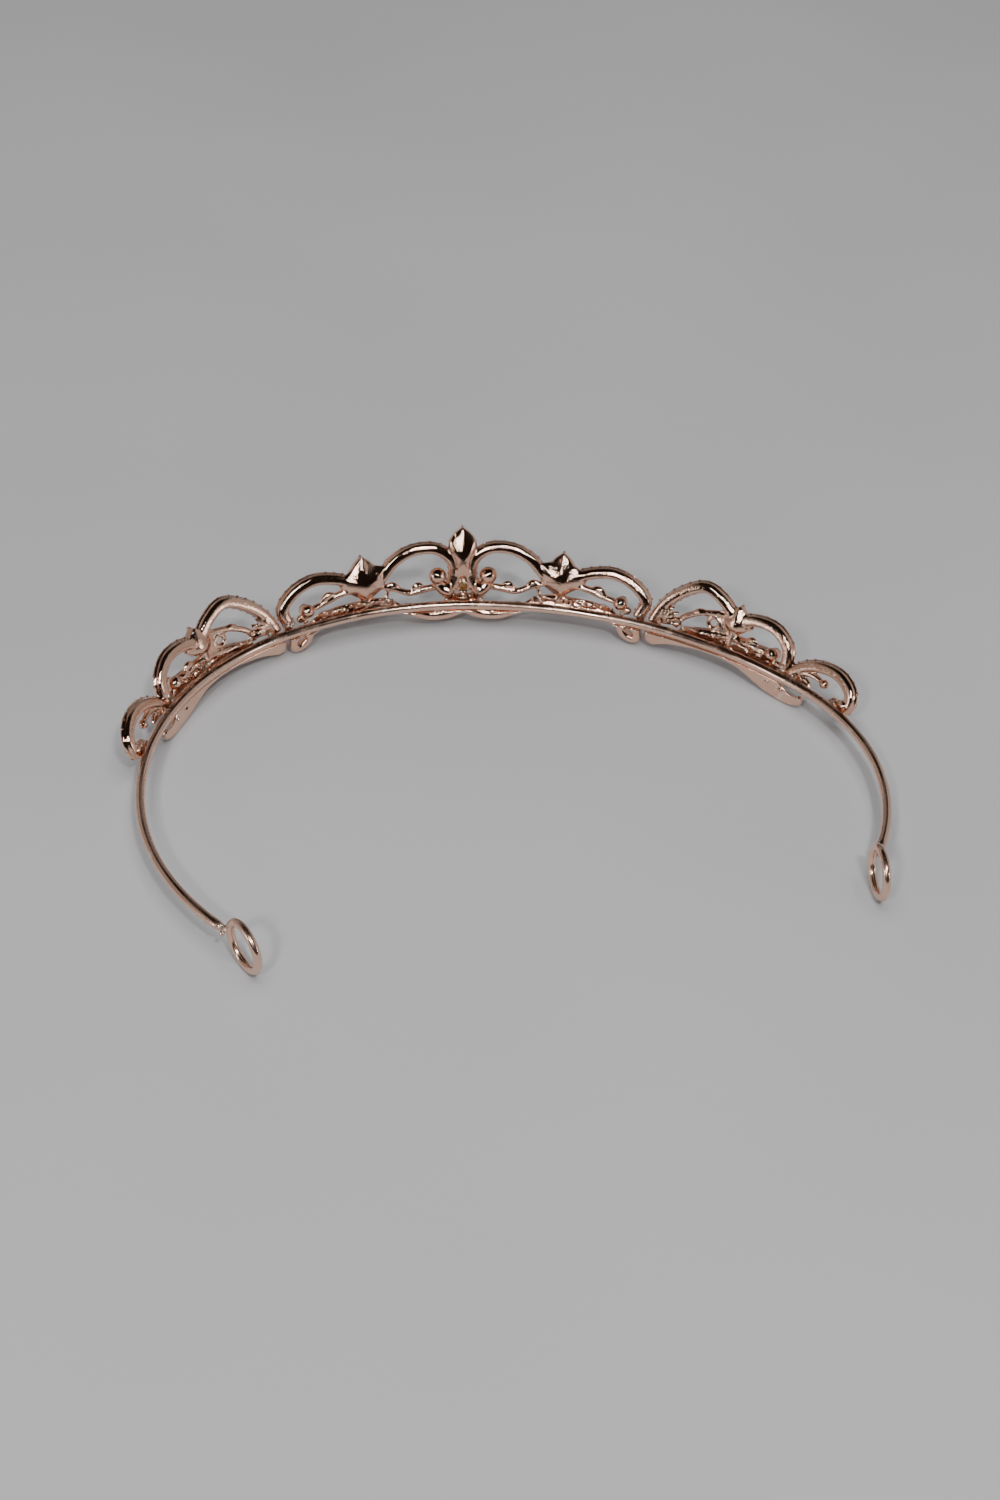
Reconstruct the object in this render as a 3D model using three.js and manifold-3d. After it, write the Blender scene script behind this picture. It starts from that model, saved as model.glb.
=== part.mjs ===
// Bridal tiara: a sprung wire band with a ring at each end, three cast ornaments soldered to its front,
// and the crystals set in them. Millimetres, +Z up, ornaments facing -Y, the wearer's left towards +X.
import * as THREE from 'three';
import { mergeVertices } from 'three/addons/utils/BufferGeometryUtils.js';
import Module from 'manifold-3d';

const wasm = await Module();
wasm.setup();

// ---- Driving dimensions ----
const GAP = 0.3; // clear space between pieces that touch
const WIRE_RADIUS = 0.95;
const WIRE_STEPS = 56;

// Each half of the band is a slack front bow and a tighter arm, two arcs that meet in one tangent.
const LEFT_HALF = { bowRadius: 76, bowLength: 38, armRadius: 52, armLength: 99 };
const RIGHT_HALF = { bowRadius: 90, bowLength: 75, armRadius: 43, armLength: 51 };

const RING_RADIUS = 5.4; // to the outside of an end ring
const RING_THICKNESS = 1.6;
const LEFT_RING_TURN = THREE.MathUtils.degToRad(-15); // from the line of its wire
const RIGHT_RING_TURN = THREE.MathUtils.degToRad(30);

const LEAN = THREE.MathUtils.degToRad(22); // the ornaments lean out from the head
const BAR_THICKNESS = 1.7; // front to back
const BAR_WIDTH = 2.5;
const MID_PLANE = (WIRE_RADIUS + GAP + BAR_THICKNESS / 2) / Math.cos(LEAN);
const FRONT = BAR_THICKNESS / 2;

const ROSE_GOLD = { color: 0xd9a48f, roughness: 0.18, metalness: 1 };
const CRYSTAL = { color: 0xf4f6fa, roughness: 0.05, metalness: 0 };

// ---- Band ----
function arcEnd(start, radius, length) {
  const turn = length / radius;
  return {
    x: start.x + radius * (Math.sin(start.heading + turn) - Math.sin(start.heading)),
    y: start.y - radius * (Math.cos(start.heading + turn) - Math.cos(start.heading)),
    heading: start.heading + turn,
  };
}

// The place on the wire at a length s from its front centre, positive towards the left end.
function bandAt(s) {
  const half = s >= 0 ? LEFT_HALF : RIGHT_HALF;
  const along = Math.abs(s);
  const bow = arcEnd({ x: 0, y: 0, heading: 0 }, half.bowRadius, Math.min(along, half.bowLength));
  const place = along > half.bowLength ? arcEnd(bow, half.armRadius, along - half.bowLength) : bow;
  return s >= 0 ? place : { x: -place.x, y: place.y, heading: -place.heading };
}

const LEFT_END = LEFT_HALF.bowLength + LEFT_HALF.armLength;
const RIGHT_END = -(RIGHT_HALF.bowLength + RIGHT_HALF.armLength);

class BandCurve extends THREE.Curve {
  getPoint(t, target = new THREE.Vector3()) {
    const place = bandAt(THREE.MathUtils.lerp(RIGHT_END, LEFT_END, t));
    return target.set(place.x, place.y, 0);
  }
}

// Bends flat work round the band: x runs along the wire, y up the leaning ornament, z out of its front.
function bendRoundBand(geometry) {
  const position = geometry.attributes.position;
  for (let i = 0; i < position.count; i++) {
    const place = bandAt(position.getX(i));
    const height = position.getY(i);
    const depth = position.getZ(i);
    const outward = MID_PLANE + height * Math.sin(LEAN) + depth * Math.cos(LEAN);
    position.setXYZ(
      i,
      place.x + Math.sin(place.heading) * outward,
      place.y - Math.cos(place.heading) * outward,
      height * Math.cos(LEAN) - depth * Math.sin(LEAN),
    );
  }
  return geometry;
}

// ---- Solids ----
function welded(geometry) {
  geometry.deleteAttribute('normal');
  geometry.deleteAttribute('uv');
  return mergeVertices(geometry, 1e-4);
}

function toSolid(geometry) {
  const closed = welded(geometry);
  return new wasm.Manifold(new wasm.Mesh({
    numProp: 3,
    vertProperties: new Float32Array(closed.attributes.position.array),
    triVerts: new Uint32Array(closed.index.array),
  }));
}

function joined(geometries) {
  const [first, ...rest] = geometries.map(toSolid);
  const mesh = rest.reduce((whole, piece) => whole.add(piece), first).getMesh();
  const geometry = new THREE.BufferGeometry();
  geometry.setAttribute('position', new THREE.BufferAttribute(new Float32Array(mesh.vertProperties), 3));
  geometry.setIndex(new THREE.BufferAttribute(new Uint32Array(mesh.triVerts), 1));
  return geometry;
}

const tiara = new THREE.Group();

function addPiece(name, geometry, finish) {
  geometry.computeVertexNormals();
  const mesh = new THREE.Mesh(geometry, new THREE.MeshStandardMaterial({ ...finish, flatShading: true }));
  mesh.name = name;
  tiara.add(mesh);
  return mesh;
}

// ---- Flat work, drawn for the left side; side is -1 for its mirror image ----
function flatCurve(points, side = 1, depth = 0) {
  return new THREE.CatmullRomCurve3(points.map(([s, h]) => new THREE.Vector3(side * s, h, depth)));
}

// A stretch of a curve, from one share of its length to another.
function stretch(curve, from, to, count = 9) {
  const points = [];
  for (let i = 0; i < count; i++) {
    points.push(curve.getPointAt(THREE.MathUtils.lerp(from, to, i / (count - 1))));
  }
  return new THREE.CatmullRomCurve3(points);
}

// Half-round bar: flat at the front, rounded at the back. The section's x points to the back.
function bar(curve, steps, width = BAR_WIDTH) {
  const half = width / 2;
  const section = new THREE.Shape();
  section.moveTo(-FRONT, -0.9 * half);
  section.lineTo(-0.3 * FRONT, -half);
  section.lineTo(0.6 * FRONT, -0.68 * half);
  section.lineTo(FRONT, 0);
  section.lineTo(0.6 * FRONT, 0.68 * half);
  section.lineTo(-0.3 * FRONT, half);
  section.lineTo(-FRONT, 0.9 * half);
  section.closePath();
  return new THREE.ExtrudeGeometry(section, { steps, extrudePath: curve, bevelEnabled: false });
}

// Thin round stem.
function stem(curve, steps, radius = 0.5) {
  const section = new THREE.Shape();
  section.absarc(0, 0, radius, 0, 2 * Math.PI);
  return new THREE.ExtrudeGeometry(section, {
    steps, extrudePath: curve, bevelEnabled: false, curveSegments: 3,
  });
}

// A bead, set back where it is too large to stay behind the crystal in front of it.
const BEAD_FRONT = 1.2;

function bead([s, h], radius, side = 1) {
  const geometry = new THREE.SphereGeometry(radius, 6, 4);
  geometry.translate(side * s, h, Math.min(0, BEAD_FRONT - radius));
  return geometry;
}

// Pear outline with its point up, its round end centred on the origin.
function pearShape(length, width) {
  const round = width / 2;
  const tip = length - round;
  const shape = new THREE.Shape();
  shape.moveTo(0, tip);
  shape.quadraticCurveTo(-0.95 * round, 0.5 * tip, -round, 0);
  shape.absarc(0, 0, round, Math.PI, 2 * Math.PI);
  shape.quadraticCurveTo(0.95 * round, 0.5 * tip, 0, tip);
  return shape;
}

const PEAR_LENGTH = 5.4;
const PEAR_WIDTH = 4.7;
const CUP_WALL = 0.35;
const CUP_BEVEL = 0.5;
const CUP_FRONT = 0.8;
const CROWN = 0.6; // slope round the crystal's edge
const GIRDLE = 0.2;

function pearCup([s, h], side = 1) {
  const outline = pearShape(PEAR_LENGTH + 2 * (CUP_WALL - CUP_BEVEL), PEAR_WIDTH + 2 * (CUP_WALL - CUP_BEVEL));
  const geometry = new THREE.ExtrudeGeometry(outline, {
    depth: CUP_FRONT + FRONT - CUP_BEVEL,
    curveSegments: 4,
    bevelThickness: CUP_BEVEL,
    bevelSize: CUP_BEVEL,
    bevelSegments: 1,
  });
  geometry.translate(side * s, h, -FRONT);
  return geometry;
}

function pearCrystal([s, h], side = 1) {
  const outline = pearShape(PEAR_LENGTH - 2 * CROWN, PEAR_WIDTH - 2 * CROWN);
  const geometry = new THREE.ExtrudeGeometry(outline, {
    depth: GIRDLE,
    curveSegments: 4,
    bevelThickness: CROWN,
    bevelSize: CROWN,
    bevelSegments: 1,
  });
  geometry.translate(side * s, h, CUP_FRONT + GAP + CROWN);
  return bendRoundBand(welded(geometry));
}

// Round crystal: a low crown over a flat girdle, turned about the line out of the ornament's front.
function roundCrystal([s, h], radius, side = 1, back = FRONT + GAP) {
  const profile = [[0, 0], [0.8, 0], [1, 0.35], [0.6, 0.75], [0, 0.75]];
  const points = profile.map(([r, z]) => new THREE.Vector2(r * radius, z * radius));
  const geometry = new THREE.LatheGeometry(points, 8);
  geometry.rotateX(Math.PI / 2);
  geometry.translate(side * s, h, back);
  return bendRoundBand(welded(geometry));
}

// A row of small round crystals on a bar's front, as one strip.
const ROW_WIDTH = 1.5;
const ROW_HEIGHT = 0.8;

function crystalRow(curve, steps) {
  const section = new THREE.Shape();
  section.moveTo(0, -ROW_WIDTH / 2);
  section.lineTo(0, ROW_WIDTH / 2);
  section.lineTo(-ROW_HEIGHT, ROW_WIDTH / 4);
  section.lineTo(-ROW_HEIGHT, -ROW_WIDTH / 4);
  section.closePath();
  const geometry = new THREE.ExtrudeGeometry(section, { steps, extrudePath: curve, bevelEnabled: false });
  geometry.translate(0, 0, FRONT + GAP);
  return bendRoundBand(welded(geometry));
}

// ---- Pattern of the ornaments: [length along the wire, height up the ornament] ----
const INNER_ARCH = [[16.4, 5.6], [13.4, 8.9], [9.6, 10.8], [5.2, 10.8], [2.2, 8.4], [1.6, 5.0], [3.6, 0.4]];
const OUTER_ARCH = [[22.0, 5.6], [25.4, 7.2], [30.0, 8.0], [34.6, 6.4], [37.2, 3.6], [36.2, 0.0]];
const BIG_ARCH = [[39.4, -0.2], [41.0, 3.8], [44.2, 7.6], [48.6, 10.1], [52.4, 8.8], [56.6, 5.4]];
const MIDDLE_ARCH = [[56.0, 5.2], [60.4, 7.1], [65.0, 7.0], [68.4, 4.4], [69.2, -0.2]];
const SMALL_ARCH = [[70.2, -0.4], [72.8, 2.6], [76.8, 4.6], [81.2, 4.9], [84.4, 3.2], [84.8, 0.2], [82.6, -0.6]];

const CENTRE_PEAR = [0, 11.9];
const INNER_PEAR = [19.7, 7.5];
const OUTER_PEAR = [56.4, 5.4];

const CENTRE_RAIL = [[0.4, -1.8], [3.2, -2.9], [7.0, -3.1], [11.0, -1.9], [15.0, -0.5], [20.5, 0.1],
  [27.0, 0.0], [31.0, -0.9], [33.2, -2.9], [35.0, -4.2], [36.4, -4.4]];
const RAIL_END = [[36.8, 0.4], [36.9, -2.2], [36.2, -4.4]];
const GRAIN_STRIP = [[13.4, 0.1], [17.0, 0.8], [21.5, 0.9], [27.0, 0.7], [31.4, 0.0]];
const SIDE_RAIL = [[39.6, -2.2], [42.0, -2.7], [46.0, -2.0], [52.0, -1.5], [56.5, -1.5],
  [61.5, -2.0], [66.5, -3.4], [71.0, -4.1], [74.4, -4.0]];
const SIDE_STRIP = [[45.6, 0.2], [51.0, 0.7], [56.5, 1.0], [62.0, 1.0], [68.0, 0.7], [74.4, 0.4]];

const INNER_SCROLL = [[2.8, 2.0], [4.0, 2.4], [4.9, 3.6], [5.1, 5.0]];
const INNER_VINE = [[4.2, 3.0], [7.2, 2.5], [10.8, 1.9], [13.6, 3.0], [17.0, 4.2]];
const VINE_FOOT = [[15.0, 3.4], [15.6, 1.6], [16.0, 0.2]];
const OUTER_VINE = [[21.6, 4.6], [25.4, 3.8], [29.0, 2.7], [32.2, 2.2]];
const SCROLL_BEAD = [5.1, 5.2];
const VINE_BEAD = [32.3, 2.2];
const SIDE_VINE = [[44.2, 0.2], [45.4, 2.4], [48.4, 4.4], [52.0, 5.6], [55.6, 6.0]];
const SIDE_BEAD = [65.6, 2.0];
const BAR_STEPS = 10;
const NECK_DEPTH = -0.5; // the necks under the pears stand out at the back, clear of the crystals

// ---- Metal ----
function centreCastingHalf(side) {
  return [
    bar(flatCurve(INNER_ARCH, side), BAR_STEPS),
    bar(flatCurve(OUTER_ARCH, side), BAR_STEPS),
    bar(flatCurve(CENTRE_RAIL, side), BAR_STEPS + 2, 1.9),
    bar(flatCurve(RAIL_END, side), 5, 1.7),
    bar(flatCurve(GRAIN_STRIP, side), 6, 1.6),
    stem(flatCurve(INNER_SCROLL, side), 4, 0.9),
    bead(SCROLL_BEAD, 1.4, side),
    stem(flatCurve(INNER_VINE, side), 7),
    stem(flatCurve(VINE_FOOT, side), 3),
    stem(flatCurve(OUTER_VINE, side), 5),
    bead(VINE_BEAD, 1.3, side),
    bead([33.8, 0.9], 1.0, side),
    bead([31.9, -1.4], 0.9, side),
    bead([9.2, 2.9], 0.8, side),
    bead([14.0, 3.6], 0.8, side),
    bead([27.6, 3.8], 0.8, side),
    pearCup(INNER_PEAR, side),
    stem(flatCurve([[19.7, 6.4], [19.8, 3.4], [19.8, 0.4]], side, NECK_DEPTH), 3, 1.1),
    stem(flatCurve([[16.6, 6.6], [18.4, 5.0], [19.0, 2.6]], side, NECK_DEPTH), 3, 0.8),
    stem(flatCurve([[22.8, 5.8], [21.4, 4.6], [20.8, 2.6]], side, NECK_DEPTH), 3, 0.8),
  ];
}

function centreCasting() {
  const neck = stem(flatCurve([[0, 10.6], [0, 7.6], [0, 4.6]], 1, NECK_DEPTH), 4, 1.2);
  const foot = stem(flatCurve([[0, 5.0], [0, 1.0], [0, -2.6]]), 4, 0.9);
  return joined([pearCup(CENTRE_PEAR), neck, foot, ...centreCastingHalf(1), ...centreCastingHalf(-1)]);
}

function sideCasting(side) {
  return joined([
    bar(flatCurve(BIG_ARCH, side), BAR_STEPS),
    bar(flatCurve(MIDDLE_ARCH, side), BAR_STEPS),
    bar(flatCurve(SMALL_ARCH, side), BAR_STEPS),
    bar(flatCurve(SIDE_RAIL, side), BAR_STEPS, 2.3),
    bar(flatCurve(SIDE_STRIP, side), 8, 1.8),
    stem(flatCurve([[69.6, 1.2], [69.8, -1.6], [69.8, -4.0]], side), 3, 0.9),
    stem(flatCurve([[39.8, 0.2], [39.8, -1.2], [40.0, -2.6]], side), 3, 0.9),
    stem(flatCurve([[56.4, 4.6], [56.4, 1.0], [56.2, -2.2]], side), 4, 1.0),
    stem(flatCurve([[46.4, 0.2], [45.6, -1.4], [45.4, -3.0]], side), 3, 0.8),
    stem(flatCurve(SIDE_VINE, side), 7, 0.6),
    bead([48.6, 4.4], 0.85, side),
    bead([60.6, 2.4], 0.85, side),
    bead(SIDE_BEAD, 1.3, side),
    bead([75.0, -3.4], 0.9, side),
    bead([81.8, -0.4], 1.2, side),
    bead([84.4, 0.6], 1.2, side),
    pearCup(OUTER_PEAR, side),
  ]);
}

function headBand() {
  const section = new THREE.Shape();
  section.absarc(0, 0, WIRE_RADIUS, 0, 2 * Math.PI);
  return welded(new THREE.ExtrudeGeometry(section, {
    steps: WIRE_STEPS, extrudePath: new BandCurve(), bevelEnabled: false, curveSegments: 4,
  }));
}

// An upright ring with one flat facet of its rim turned straight down, to stand on.
const RING_SEGMENTS = 24;
const RING_SECTION_SIDES = 8;

function endRing(end, turn) {
  const tube = RING_THICKNESS / 2;
  const facetScale = 1 / Math.cos(Math.PI / RING_SEGMENTS);
  const profile = [];
  for (let i = 0; i <= RING_SECTION_SIDES; i++) {
    const angle = 2 * Math.PI * ((i % RING_SECTION_SIDES) + 0.5) / RING_SECTION_SIDES;
    const radius = RING_RADIUS - tube + tube * Math.cos(angle) / Math.cos(Math.PI / RING_SECTION_SIDES);
    profile.push(new THREE.Vector2(radius * facetScale, tube * Math.sin(angle)));
  }
  const ring = welded(new THREE.LatheGeometry(profile, RING_SEGMENTS, Math.PI / RING_SEGMENTS));
  const place = bandAt(end);
  const wireHeading = end > 0 ? place.heading : place.heading + Math.PI;
  const reach = RING_RADIUS * facetScale + GAP;
  ring.rotateZ(wireHeading + turn);
  ring.translate(
    place.x + Math.cos(wireHeading + turn / 2) * reach,
    place.y + Math.sin(wireHeading + turn / 2) * reach,
    0,
  );
  return ring;
}

addPiece('head_band', headBand(), ROSE_GOLD);
addPiece('left_end_ring', endRing(LEFT_END, LEFT_RING_TURN), ROSE_GOLD);
addPiece('right_end_ring', endRing(RIGHT_END, RIGHT_RING_TURN), ROSE_GOLD);
addPiece('centre_casting', bendRoundBand(centreCasting()), ROSE_GOLD);
addPiece('left_casting', bendRoundBand(sideCasting(1)), ROSE_GOLD);
addPiece('right_casting', bendRoundBand(sideCasting(-1)), ROSE_GOLD);

// ---- Crystals ----
addPiece('centre_pear_crystal', pearCrystal(CENTRE_PEAR), CRYSTAL);
addPiece('centre_round_crystal', roundCrystal([0, 2.4], 1.0, 1, 0.9 + GAP), CRYSTAL);
for (const [word, side] of [['left', 1], ['right', -1]]) {
  addPiece(`${word}_inner_pear_crystal`, pearCrystal(INNER_PEAR, side), CRYSTAL);
  addPiece(`${word}_outer_pear_crystal`, pearCrystal(OUTER_PEAR, side), CRYSTAL);
  addPiece(`${word}_scroll_crystal`, roundCrystal(SCROLL_BEAD, 1.1, side, 1.2 + GAP), CRYSTAL);
  addPiece(`${word}_vine_crystal`, roundCrystal(VINE_BEAD, 1.1, side, 1.2 + GAP), CRYSTAL);
  addPiece(`${word}_side_crystal`, roundCrystal(SIDE_BEAD, 1.1, side, 1.2 + GAP), CRYSTAL);
  const rows = [
    ['inner_arch', INNER_ARCH, 0.08, 0.86],
    ['outer_arch', OUTER_ARCH, 0.12, 0.96],
    ['big_arch', BIG_ARCH, 0.04, 0.84],
    ['middle_arch', MIDDLE_ARCH, 0.18, 0.96],
    ['small_arch', SMALL_ARCH, 0.06, 0.9],
  ];
  for (const [place, points, from, to] of rows) {
    const row = stretch(flatCurve(points, side), from, to);
    addPiece(`${word}_${place}_crystal_row`, crystalRow(row, 9), CRYSTAL);
  }
}

// ---- Stand the tiara on z = 0 with its outline centred on the origin ----
const outline = new THREE.Box3().setFromObject(tiara);
const centre = outline.getCenter(new THREE.Vector3());
for (const mesh of tiara.children) {
  mesh.position.set(-centre.x, -centre.y, -outline.min.z);
}

export default tiara;
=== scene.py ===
"""Looks of the bridal tiara: plated wire band, three cast ornaments, solder and set crystals.

Flat work is drawn as (s, h, d) in millimetres, as in the part: s runs along the wire, h up the leaning
ornament and d out of its front. bend() takes it round the band and into the part frame in metres.
"""
import math

import bpy
import numpy as np
from mathutils import Matrix, Vector


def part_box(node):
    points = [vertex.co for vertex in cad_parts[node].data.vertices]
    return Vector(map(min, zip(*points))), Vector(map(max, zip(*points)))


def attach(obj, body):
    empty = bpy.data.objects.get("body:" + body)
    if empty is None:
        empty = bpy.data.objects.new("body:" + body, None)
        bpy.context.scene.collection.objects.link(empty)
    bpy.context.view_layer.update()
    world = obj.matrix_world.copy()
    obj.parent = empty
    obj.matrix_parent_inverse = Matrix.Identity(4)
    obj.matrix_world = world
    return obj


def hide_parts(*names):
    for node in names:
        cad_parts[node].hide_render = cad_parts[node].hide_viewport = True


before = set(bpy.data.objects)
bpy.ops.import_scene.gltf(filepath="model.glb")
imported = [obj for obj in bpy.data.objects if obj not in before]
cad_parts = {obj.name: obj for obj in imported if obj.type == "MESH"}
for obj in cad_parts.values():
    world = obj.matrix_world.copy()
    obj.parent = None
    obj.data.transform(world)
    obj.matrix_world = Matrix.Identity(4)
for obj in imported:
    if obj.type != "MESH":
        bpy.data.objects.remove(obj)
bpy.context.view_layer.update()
MM = 0.001

# ---- Driving dimensions, as in the part, in millimetres ----
GAP = 0.3
WIRE_RADIUS = 0.95
LEFT_HALF = {"bow_radius": 76, "bow": 38, "arm_radius": 52, "arm": 99}
RIGHT_HALF = {"bow_radius": 90, "bow": 75, "arm_radius": 43, "arm": 51}
LEAN = math.radians(22)
BAR_THICKNESS = 1.7
FRONT = BAR_THICKNESS / 2
MID_PLANE = (WIRE_RADIUS + GAP + FRONT) / math.cos(LEAN)
RING_RADIUS = 5.4
RING_TUBE = 0.8
RING_TURNS = {"left": math.radians(-15), "right": math.radians(30)}  # from the line of its wire
PEAR_LENGTH = 5.4
PEAR_WIDTH = 4.7
CUP_WALL = 0.35
LEFT_END = LEFT_HALF["bow"] + LEFT_HALF["arm"]
RIGHT_END = -(RIGHT_HALF["bow"] + RIGHT_HALF["arm"])

# ---- Dimensions of the looks, in millimetres ----
# Below the wire the castings step in under it and then run back out: heights, and the depth gained there.
STEP_HEIGHTS = (-6.4, -2.2, -1.0, -0.2)
STEP_DEPTHS = (-0.3, -1.6, -0.4, 0.0)
DRAFT = 0.2  # each bar's back leans this much more than the ornament, for each millimetre up
PLATE_EDGE = 0.25  # rounding of the plates between the bars
VOXEL = 0.13  # grain of the castings' skin
CENTRE_VOXEL = 0.15
SOLDER_VOXEL = 0.11
RING_SOLDER_VOXEL = 0.1
WIRE_POINTS = 420
WIRE_SIDES = 24
SLOW_SWAY = (0.05, 0.11)  # the wire's slight unevenness in height: reach, and radians per millimetre
QUICK_SWAY = (0.03, 0.31)
RING_POINTS = 96
RING_SIDES = 20


def middle(node):
    low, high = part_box(node)
    return (low + high) / 2


# The front centre of the wire in the part frame, in millimetres.
WIRE_FRONT = np.array([
    middle("centre_pear_crystal").x / MM,
    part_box("head_band")[0].y / MM + WIRE_RADIUS,
    middle("head_band").z / MM,
])


# ---- The band's line ----
def arc_end(x, y, heading, radius, length):
    """Place and heading after a length of an arc."""
    turned = heading + length / radius
    return (
        x + radius * (np.sin(turned) - np.sin(heading)),
        y - radius * (np.cos(turned) - np.cos(heading)),
        turned,
    )


def band_at(s):
    """Place and heading on the wire at a length s from its front, positive towards the left end."""
    s = np.asarray(s, float)
    found = np.zeros((3,) + s.shape)
    for side, half in ((1, LEFT_HALF), (-1, RIGHT_HALF)):
        along = np.abs(s)
        bow = arc_end(0.0, 0.0, 0.0, half["bow_radius"], np.minimum(along, half["bow"]))
        place = arc_end(*bow, half["arm_radius"], np.maximum(along - half["bow"], 0))
        here = s >= 0 if side > 0 else s < 0
        for row, value, sign in zip(found, place, (side, 1, side)):
            row[here] = (sign * value)[here]
    return found


def bend(flat):
    """Takes flat work (s, h, d) in millimetres round the band, into the part frame in metres."""
    s, h, d = np.asarray(flat, float).T
    d = d + np.interp(h, STEP_HEIGHTS, STEP_DEPTHS)
    x, y, heading = band_at(s)
    outward = MID_PLANE + h * math.sin(LEAN) + d * math.cos(LEAN)
    height = h * math.cos(LEAN) - d * math.sin(LEAN)
    bent = np.stack([x + np.sin(heading) * outward, y - np.cos(heading) * outward, height], 1)
    return (bent + WIRE_FRONT) * MM


# ---- Shapes: each is (points, faces) ----
def smooth_line(points, count):
    """Evenly spaced points on a centripetal curve through the given ones."""
    p = np.asarray(points, float)
    p = np.vstack([2 * p[0] - p[1], p, 2 * p[-1] - p[-2]])
    dense = []
    for p0, p1, p2, p3 in zip(p, p[1:], p[2:], p[3:]):
        t0 = 0.0
        t1 = t0 + math.sqrt(np.linalg.norm(p1 - p0))
        t2 = t1 + math.sqrt(np.linalg.norm(p2 - p1))
        t3 = t2 + math.sqrt(np.linalg.norm(p3 - p2))
        t = np.linspace(t1, t2, 24, endpoint=False)[:, None]
        a1 = (t1 - t) / (t1 - t0) * p0 + (t - t0) / (t1 - t0) * p1
        a2 = (t2 - t) / (t2 - t1) * p1 + (t - t1) / (t2 - t1) * p2
        a3 = (t3 - t) / (t3 - t2) * p2 + (t - t2) / (t3 - t2) * p3
        b1 = (t2 - t) / (t2 - t0) * a1 + (t - t0) / (t2 - t0) * a2
        b2 = (t3 - t) / (t3 - t1) * a2 + (t - t1) / (t3 - t1) * a3
        dense.append((t2 - t) / (t2 - t1) * b1 + (t - t1) / (t2 - t1) * b2)
    dense = np.vstack(dense + [p[-2:-1]])
    return evenly(dense, count)


def evenly(line, count):
    """The same line with its points at equal distances."""
    length = np.concatenate([[0], np.cumsum(np.linalg.norm(np.diff(line, axis=0), axis=1))])
    wanted = np.linspace(0, length[-1], count)
    return np.stack([np.interp(wanted, length, column) for column in line.T], 1)


def closed_evenly(outline, count):
    """An outline, closed, with its points at equal distances."""
    return evenly(np.vstack([outline, outline[:1]]), count + 1)[:-1]


def flat_line(points, side, count):
    """A smooth line on one side of the tiara."""
    line = smooth_line(points, count)
    line[:, 0] *= side
    return line


def part_of(line, start, end, count):
    """A stretch of a line, from one share of its length to another."""
    steps = 399
    fine = evenly(line, steps + 1)
    return evenly(fine[int(start * steps):int(end * steps) + 1], count)


def mirrored(half):
    """A section's right half, completed with its left half. It starts and ends on the middle."""
    half = np.asarray(half, float)
    return np.vstack([half, (half * [-1, 1])[-2:0:-1]])


def grid_faces(rows, columns):
    """Quads between closed rings of points, with both ends capped."""
    i, j = np.meshgrid(np.arange(rows - 1), np.arange(columns), indexing="ij")
    k = (j + 1) % columns
    quads = np.stack([i * columns + j, i * columns + k, (i + 1) * columns + k, (i + 1) * columns + j], -1)
    faces = quads.reshape(-1, 4).tolist()
    faces.append(list(range(columns))[::-1])
    faces.append([(rows - 1) * columns + n for n in range(columns)])
    return faces


def sweep(line, section, across=1.0, depth=1.0, lift=0.0):
    """A section carried along a flat line. across and depth scale it, and may change along the line."""
    tangent = np.gradient(line, axis=0)
    tangent /= np.linalg.norm(tangent, axis=1)[:, None]
    count = len(line)
    across = np.broadcast_to(across, count)[:, None]
    depth = np.broadcast_to(depth, count)[:, None]
    lift = np.broadcast_to(lift, count)[:, None]
    s = line[:, :1] - tangent[:, 1:] * section[:, 0] * across
    h = line[:, 1:] + tangent[:, :1] * section[:, 0] * across
    d = section[:, 1] * depth + lift + DRAFT * (h - line[:, 1:])
    return np.stack([s, h, np.broadcast_to(d, s.shape)], -1).reshape(-1, 3), grid_faces(count, len(section))


def round_section(radius, sides=14):
    """A round bar's section."""
    angle = np.linspace(0, 2 * math.pi, sides, endpoint=False)
    return radius * np.stack([np.sin(angle), -np.cos(angle)], 1)


def ball(centre, radius, rings=10, sides=16):
    """A ball with a very small flat at each pole."""
    flat = 0.06
    polar = np.linspace(flat, math.pi - flat, rings)[:, None]
    turn = np.linspace(0, 2 * math.pi, sides, endpoint=False)[None, :]
    points = np.stack([
        np.sin(polar) * np.cos(turn),
        np.sin(polar) * np.sin(turn),
        np.cos(polar) + 0 * turn,
    ], -1).reshape(-1, 3)
    return points * radius + np.asarray(centre), grid_faces(rings, sides)


def bead(place_at, depth, radius, side):
    """A ball on the back of an ornament."""
    return ball((side * place_at[0], place_at[1], depth), radius)


def stacked(outlines):
    """A closed body through rings of points that all have the same count."""
    outlines = [np.asarray(o, float) for o in outlines]
    return np.vstack(outlines), grid_faces(len(outlines), len(outlines[0]))


def pear_outline(length, width, count=40):
    """Pear outline with its point up, its round end centred on the origin."""
    half = width / 2
    tip = length - half
    start, pull, end = np.array([[0, tip], [-0.95 * half, 0.5 * tip], [-half, 0]])
    t = np.linspace(0, 1, 16)[:, None]
    flank = (1 - t) ** 2 * start + 2 * t * (1 - t) * pull + t ** 2 * end
    angle = np.linspace(math.pi, 2 * math.pi, 20)[1:-1, None]
    bowl = half * np.hstack([np.cos(angle), np.sin(angle)])
    other = (flank * [-1, 1])[::-1]
    return evenly(np.vstack([flank, bowl, other]), count + 1)[:-1]


def scaled_rings(outline, centre, steps):
    """Rings of one outline, each (scale, depth), about a centre (s, h)."""
    centre = np.asarray(centre, float)
    return [
        np.column_stack([(outline - centre) * scale + centre, np.full(len(outline), depth)])
        for scale, depth in steps
    ]


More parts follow.
